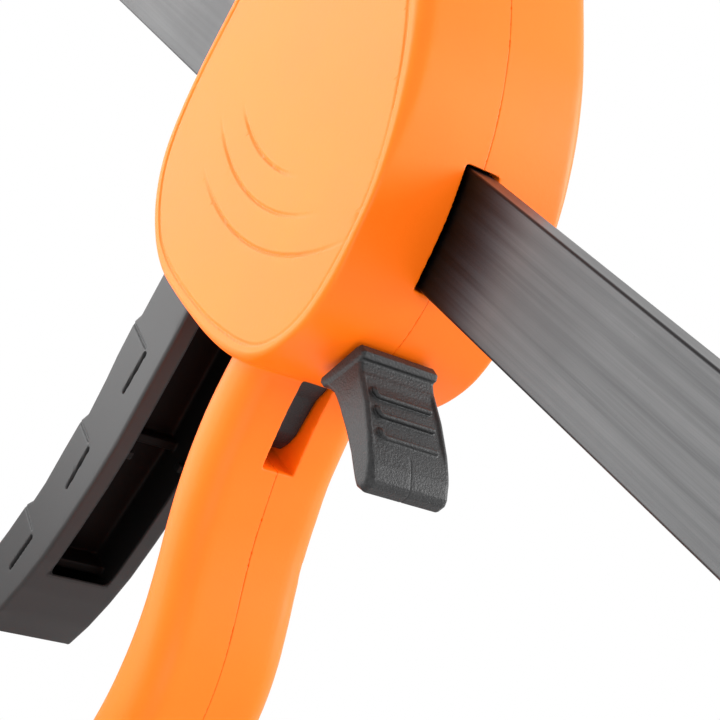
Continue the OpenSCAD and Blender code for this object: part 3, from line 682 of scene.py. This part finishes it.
# ------------------------------------------------------------------ release lever
def release_mesh():
    g = Grid(steps(-23.8, 0.2, -6, 0.13, 19.7),
             steps(-8.5, 0.12, -4.6, 0.2, -0.4, 0.07, 0.4, 0.2, 4.6, 0.12, 8.5),
             steps(-50.7, 0.2, -38, 0.13, -20.6, 0.2, -12.6))
    ay = np.abs(g.y)
    hw = (7.55 + 0.3 * ramp(g.X, 0.5, 5.0) + 0.25 * ramp(g.X, 5.0, 15.0))[:, None, None]
    d = g.poly2(TAB)[:, None, :]
    r = 0.75 + 0.5 * ramp(g.X, 15.5, 18.5)[:, None, None]
    a, b = d + r, ay - hw + r
    f = np.minimum(np.maximum(a, b), 0) + np.sqrt(np.maximum(a, 0) ** 2 + np.maximum(b, 0) ** 2) - r
    # top face a little sunk between its edge beads, up to the crease before the rounded end
    top = ((3.4, -24.1), (8.5, -26.6), (13.5, -29.8), (15.6, -31.5))
    dl, t = line2(g, top)
    on = (ramp(t, 0.0, 0.16) * (1 - ramp(t, 0.62, 1.0)))[:, None, :] * np.ones_like(g.y)
    sunk = 0.34 * on * (1 - ramp(ay, hw - 1.25, hw - 0.85))
    f = np.maximum(f, d + sunk)
    # grip ribs with a hook at one end
    for u, w in ((7.1, -26.0), (10.1, -27.72), (13.4, -29.84)):
        ax, az = -0.84, 0.54
        pts = [(u + ax * 1.15, -5.5, w + az * 1.15 - 0.12), (u + ax * 0.7, -5.5, w + az * 0.7), (u + ax * 0.2, -5.2, w + az * 0.2),
               (u, -4.7, w), (u, 5.4, w)]
        gr, s = g.part(u - 4, u + 2, -7, 7, w - 2, w + 3)
        f[s] = smin(f[s], gr.tube(pts, 0.47), 0.18)
    # lip round the root
    lip = ext(g.poly2([[0.1, -21.2], [1.85, -21.45], [2.3, -22.4], [-3.1, -30.95], [-4.4, -30.85], [-4.8, -30.0]])[:, None, :], ay - 7.75, 0.6)
    f = smin(f, lip, 0.45)
    # neck, web and hub
    neck = ext(g.poly2(NECK)[:, None, :], ay - 4.2, 0.5)
    web = ext(g.poly2(WEB)[:, None, :], ay - 2.8, 0.5)
    hub = ext((np.hypot(g.X[:, None] + 8.5, g.Z[None, :] + 17.5) - 4.1)[:, None, :], ay - 6.9, 0.4)
    f = smin(np.minimum(f, neck), np.minimum(web, hub), 0.5)
    # mould line round the rounded end
    end = (ramp(g.X, 14.6, 16.0))[:, None, None]
    f = f + 0.07 * end * np.maximum(0, 1 - ay / 0.2)
    f = np.maximum(f, -g.rod(-8.5, -17.5, 2.05, -20, 20))
    v, faces = skin(g, f, 0.003)
    add_mesh("release_lever_tab", v, faces, "release_lever", BLACK, ["release_lever"])


release_mesh()


# ------------------------------------------------------------------ bar, pins and plates
def bar_mesh():
    g = Grid(steps(-197 - 38.5, 0.15, -197 - 37, 0.9, -197 - 31, 0.3, -197 - 25, 1, -197 - 17, 0.3, -197 - 11, 2.5, 186.0, 0.25, 192.4, 0.8, 193.6, 0.14, 195.4),
             steps(-3.3, 0.09, -2.0, 0.35, 2.0, 0.09, 3.3),
             steps(-10.3, 0.09, -8.9, 0.5, -3, 0.3, 3, 0.5, 8.9, 0.09, 10.3))
    f = ext(np.abs(g.y) - 3, np.abs(g.z) - 10, 0.6)
    f = ext(f, np.maximum(-235 - g.x, g.x - 195), 0.35)
    for u in (-225, -211, 189):
        f = smax(f, -ext(np.hypot(g.x - u, g.z) - 2.5, np.abs(g.y) - 10, 0), 0.15)
    v, faces = skin(g, f, 0.0)
    add_mesh("bar_rail", v, faces, "bar", BARM, ["bar"], angle=60)


bar_mesh()


def spring_pin(u, w, half, body, name, nodes, more=()):
    parts = []
    for (a, b) in [(u, w), *more]:
        g = Grid(steps(-2.8, 0.13, 2.8), steps(-half - 0.3, 0.14, -half + 1, 0.8, half - 1, 0.14, half + 0.3), steps(-2.8, 0.13, 2.8))
        r = np.hypot(g.X[:, None], g.Z[None, :])[:, None, :]
        f = ext(r - 2.48, np.abs(g.y) - half, 0.4)
        f = smax(f, -(r - 1.5), 0.2)
        f = smax(f, -np.maximum(np.abs(g.z) - 0.4, -g.x + 0.5), 0.1)
        v, fs = skin(g, f, 0.004)
        parts.append((v + np.array([a, 0, b]), fs))
    v, faces = joined(parts)
    add_mesh(name, v, faces, body, ZINC, nodes)


spring_pin(189, 0, 7, "bar", "rear_stop_pin", ["bar_stop_pin"])
spring_pin(-225, 0, 15.6, "bar", "jaw_spring_pins", ["fixed_jaw_pins"], more=[(-211, 0)])


def plain_pin(u, w, r, half, body, name, node):
    g = Grid(steps(-r - 0.3, 0.14, r + 0.3), steps(-half - 0.3, 0.14, -half + 0.8, 0.9, half - 0.8, 0.14, half + 0.3), steps(-r - 0.3, 0.14, r + 0.3))
    f = ext((np.hypot(g.X[:, None], g.Z[None, :]) - r)[:, None, :], np.abs(g.y) - half, 0.4)
    v, faces = skin(g, f, 0.004)
    add_mesh(name, v + np.array([u, 0, w]), faces, body, ZINC, [node])


plain_pin(-55.5, 16.5, 2.5, 14, "housing", "trigger_pivot", "trigger_pivot_pin")
plain_pin(-8.5, -17.5, 2.0, 14, "housing", "release_pivot", "release_pivot_pin")
plain_pin(-51, -17.5, 2.5, 10, "trigger", "push_pin", "trigger_push_pin")


def plate(name, node, body, u0, t, half, w0, w1, s0, s1, turn=None):
    """A steel plate with a window for the bar, u0 to u0 + t thick."""
    g = Grid(steps(u0 - 0.3, 0.16, u0 + t + 0.3), steps(-half - 0.4, 0.25, half + 0.4), steps(w0 - 0.4, 0.25, w1 + 0.4))
    f = g.box(u0, u0 + t, -half, half, w0, w1, 0.35)
    f = smax(f, -np.maximum(np.abs(g.y) - 3.25, np.maximum(s0 - g.z, g.z - s1)), 0.25)
    v, faces = skin(g, f, 0.01)
    if turn:
        a = math.radians(turn[2])
        x, z = v[:, 0].copy(), v[:, 2].copy()
        v[:, 0] = turn[0] + x * math.cos(a) - z * math.sin(a)
        v[:, 2] = turn[1] + x * math.sin(a) + z * math.cos(a)
    add_mesh(name, v, faces, body, PLATE, [node])


plate("drive_plate_a", "drive_plate_front", "drive_plates", -48.2, 3, 10, -19.5, 14, -10.35, 10.35)
plate("drive_plate_b", "drive_plate_rear", "drive_plates", -45.2, 3, 10, -19.5, 14, -10.35, 10.35)
plate("brake_plate_a", "brake_plate_front", "brake_plates", -2.5, 2.5, 9, -44, 2, -27.95, -7.0, (-17.5, 17.5, 3))
plate("brake_plate_b", "brake_plate_rear", "brake_plates", 0, 2.5, 9, -44, 2, -27.95, -7.0, (-17.5, 17.5, 3))


# ------------------------------------------------------------------ springs
def coil(u0, u1, r, wire, turns, w=0.0, seg=40, sides=12):
    """Wire wound about the U axis, with its end turns closed."""
    n = int(turns * seg)
    i = np.arange(n + 1)
    t = i / seg
    pitch = (u1 - u0 - 2 * wire - 2 * 0.75 * 2.05 * wire) / (turns - 1.5)
    u = np.interp(t, [0, 0.75, turns - 0.75, turns], [0, 0.75 * 2.05 * wire, 0.75 * 2.05 * wire + (turns - 1.5) * pitch, u1 - u0 - 2 * wire])
    k = np.ones(5) / 5
    u = np.convolve(np.pad(u, 2, mode="edge"), k, "valid") + u0 + wire
    a = 2 * math.pi * t
    c = np.stack([u, r * np.sin(a), w + r * np.cos(a)], 1)
    tan = np.gradient(c, axis=0)
    tan /= np.linalg.norm(tan, axis=1)[:, None]
    out = np.stack([0 * a, np.sin(a), np.cos(a)], 1)
    side = np.cross(tan, out)
    side /= np.linalg.norm(side, axis=1)[:, None]
    b = 2 * math.pi * np.arange(sides) / sides
    scale = np.ones(n + 1)
    scale[0] = scale[-1] = 0.72
    ring = (c[:, None] + wire * scale[:, None, None] * (np.cos(b)[None, :, None] * out[:, None] + np.sin(b)[None, :, None] * side[:, None])).reshape(-1, 3)
    quads = []
    for j in range(n):
        for s in range(sides):
            q = (s + 1) % sides
            quads.append([j * sides + s, j * sides + q, (j + 1) * sides + q, (j + 1) * sides + s])
    m = len(ring)
    ring = np.vstack([ring, c[0] - tan[0] * 0.25 * wire, c[-1] + tan[-1] * 0.25 * wire])
    tris = [[m, (s + 1) % sides, s] for s in range(sides)] + [[m + 1, n * sides + s, n * sides + (s + 1) % sides] for s in range(sides)]
    quads, tris = np.array(quads), np.array(tris)
    vol = np.einsum("ij,ij->i", ring[quads[:, 0]], np.cross(ring[quads[:, 1]], ring[quads[:, 2]])).sum()
    if vol < 0:
        quads, tris = quads[:, ::-1], tris[:, ::-1]
    return ring, [quads, tris]


v, faces = coil(-42.1, -26.1, 11.75, 0.75, 4)
ob = add_mesh("drive_spring_coil", v, faces, "housing", WIRE, ["drive_spring"], angle=0)
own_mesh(ob)
v, faces = coil(-23.9, -18.6, 3.4, 0.45, 3.5, w=-20.5)
ob = add_mesh("brake_spring_coil", v, faces, "housing", WIRE, ["brake_spring"], angle=0)
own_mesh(ob)


# ------------------------------------------------------------------ fixed jaw and pads
def fixed_jaw_mesh():
    dx = -197.0                      # its outline is drawn from the clamping face
    g = Grid(steps(-45.2, 0.4, -3.8), steps(-16.4, 0.24, -13, 0.55, -8, 0.3, -6, 0.45, -3.6, 0.2, -2.4, 0.6, 2.4, 0.2, 3.6, 0.45, 6, 0.3, 8, 0.55, 13, 0.24, 16.4),
             steps(-17.6, 0.4, 79.8))
    ay = np.abs(g.y)
    d = g.poly2(FIXED)[:, None, :]
    f = ext(d, ay - 16, 2.6)
    # side frame: a shallow step inside the rounded rim
    f = np.maximum(f, ay - (16 - 0.4 * ramp(-d, 3.2, 3.9)))
    for p in ([[-12, 22], [-12, 38], [-32.6, 38], [-37.6, 22]], [[-12, 42], [-12, 54], [-26.4, 54], [-31.2, 42]],
              [[-12, 58], [-12, 70], [-18.6, 70], [-24.6, 58]]):
        pocket = ext((g.poly2(p))[:, None, :], 7 - ay, 0.9)
        f = smax(f, -pocket, 0.7)
    f = np.maximum(f, -np.maximum(np.maximum(-38.5 - g.x, g.x - 2), np.maximum(ay - 3.05, np.abs(g.z) - 10.05)))
    for u in (-28, -14):
        f = smax(f, -(np.hypot(g.X[:, None] - u, g.Z[None, :]) - 2.5)[:, None, :], 0.3)
    f = np.maximum(f, -g.box(-10.1, -2, -5.1, 5.1, 41.9, 66.1))
    f = np.maximum(f, -g.box(-7, 2, -20, 20, 33, 75))
    v, faces = skin(g, f, 0.008)
    add_mesh("fixed_jaw_arm", v + np.array([dx, 0, 0]), faces, "bar", ORANGE, ["fixed_jaw"])


fixed_jaw_mesh()


def pad_mesh():
    g = Grid(steps(-10.3, 0.3, -7.2, 0.15, -6.6, 0.4, -1.6, 0.16, 0.3), steps(-16.4, 0.26, 16.4), steps(-20.4, 0.26, 20.4))
    q = np.hypot(np.maximum(np.abs(g.Y)[:, None] - 11, 0), np.maximum(np.abs(g.Z)[None, :] - 15, 0)) - 5
    q = np.where((np.abs(g.Y)[:, None] < 11) | (np.abs(g.Z)[None, :] < 15),
                 np.maximum(np.abs(g.Y)[:, None] - 16, np.abs(g.Z)[None, :] - 20), q)[None, :, :].astype(np.float32)
    f = ext(q, np.maximum(-7 - g.x, g.x), 0.8)
    # crossed grooves inside a plain border, and a step round the back
    inside = ramp(-q, 2.6, 3.2)
    p = 5.2
    for sg in (-1, 1):
        c = (g.y + sg * g.z) / math.sqrt(2)
        dist = np.abs((c + p / 2) % p - p / 2)
        f = np.maximum(f, g.x + 0.75 * inside * (1 - ramp(dist, 0.25, 0.75)))
    f = smax(f, -np.maximum(-q - 0.6, np.maximum(-5.2 - g.x, g.x + 4.2)), 0.2)
    tongue = g.box(-10, -6.5, -5, 5, -12, 12, 0.3)
    f = np.minimum(f, tongue)
    return skin(g, f, 0.01)


pv, pf = pad_mesh()
add_mesh("fixed_pad", pv, pf, "bar", RUBBER, ["fixed_jaw_pad"], housing=False)
add_mesh("moving_pad", pv * np.array([-1, 1, 1]) + np.array([120, 0, 0]), [a[:, ::-1] for a in pf], "housing", RUBBER,
         ["moving_jaw_pad"], housing=False)


# ------------------------------------------------------------------ floor, light and camera
floor_mesh = bpy.data.meshes.new("floor")
s = 6.0
floor_mesh.from_pydata([(-s, -s, 0), (s, -s, 0), (s, s, 0), (-s, s, 0)], [], [(0, 1, 2, 3)])
floor = bpy.data.objects.new("floor", floor_mesh)
floor.location = (0.15, 0, -0.1806)
bpy.context.scene.collection.objects.link(floor)
fm = bpy.data.materials.new("floor_white")
fm.use_nodes = True
ft = fm.node_tree
fb = ft.nodes["Principled BSDF"]
fb.inputs["Base Color"].default_value = (0.62, 0.62, 0.62, 1)
fb.inputs["Roughness"].default_value = 0.9
glow = ft.nodes.new("ShaderNodeEmission")
glow.inputs["Color"].default_value = (1, 1, 1, 1)
glow.inputs["Strength"].default_value = 1.0
pick = ft.nodes.new("ShaderNodeMixShader")
seen = ft.nodes.new("ShaderNodeLightPath")
ft.links.new(seen.outputs["Is Camera Ray"], pick.inputs[0])
ft.links.new(fb.outputs[0], pick.inputs[1])
ft.links.new(glow.outputs[0], pick.inputs[2])
ft.links.new(pick.outputs[0], ft.nodes["Material Output"].inputs["Surface"])
floor_mesh.materials.append(fm)

world = bpy.data.worlds.new("studio")
world.use_nodes = True
wt = world.node_tree
back = wt.nodes["Background"]
back.inputs["Color"].default_value = (1, 1, 1, 1)
seen = wt.nodes.new("ShaderNodeLightPath")
level = wt.nodes.new("ShaderNodeMapRange")
level.inputs["To Min"].default_value = 1.27
level.inputs["To Max"].default_value = 1.0
wt.links.new(seen.outputs["Is Camera Ray"], level.inputs["Value"])
wt.links.new(level.outputs["Result"], back.inputs["Strength"])
bpy.context.scene.world = world


def softbox(name, at, look, size, power):
    data = bpy.data.lights.new(name, "AREA")
    data.shape = "RECTANGLE"
    data.size, data.size_y = size
    data.energy = power
    ob = bpy.data.objects.new(name, data)
    ob.location = at
    from mathutils import Vector
    d = Vector(look) - Vector(at)
    ob.rotation_mode = "QUATERNION"
    ob.rotation_quaternion = d.to_track_quat("-Z", "Y")
    bpy.context.scene.collection.objects.link(ob)
    return ob


TARGET = (0.17, 0, -0.07)
softbox("card", (-0.75, -0.95, -0.02), TARGET, (1.7, 1.1), 23.0)
softbox("floor_card", (-0.2, -0.37, -0.176), (-0.2, -0.37, 1.0), (0.84, 0.6), 3.8)
softbox("side", (0.55, 1.2, 0.5), TARGET, (0.7, 0.7), 16.0)
softbox("rear", (1.3, -0.25, -0.02), TARGET, (0.7, 0.3), 2.5)

cam_data = bpy.data.cameras.new("camera")
cam_data.lens = 88.33
cam_data.sensor_width = 36
cam_data.clip_start, cam_data.clip_end = 0.01, 50
cam = bpy.data.objects.new("camera", cam_data)
right = np.array([0.4211, 0.77518, 0.47092])
down = np.array([0.46336, 0.26247, -0.84641])
fwd = np.array([-0.77972, 0.57463, -0.24866])
m = Matrix(((right[0], -down[0], -fwd[0], 0.411115), (right[1], -down[1], -fwd[1], -0.163907),
            (right[2], -down[2], -fwd[2], -0.009458), (0, 0, 0, 1)))
cam.matrix_world = m
bpy.context.scene.collection.objects.link(cam)
bpy.context.scene.camera = cam
bpy.context.scene.view_settings.view_transform = "Standard"
bpy.context.scene.view_settings.look = "None"

bpy.context.view_layer.update()
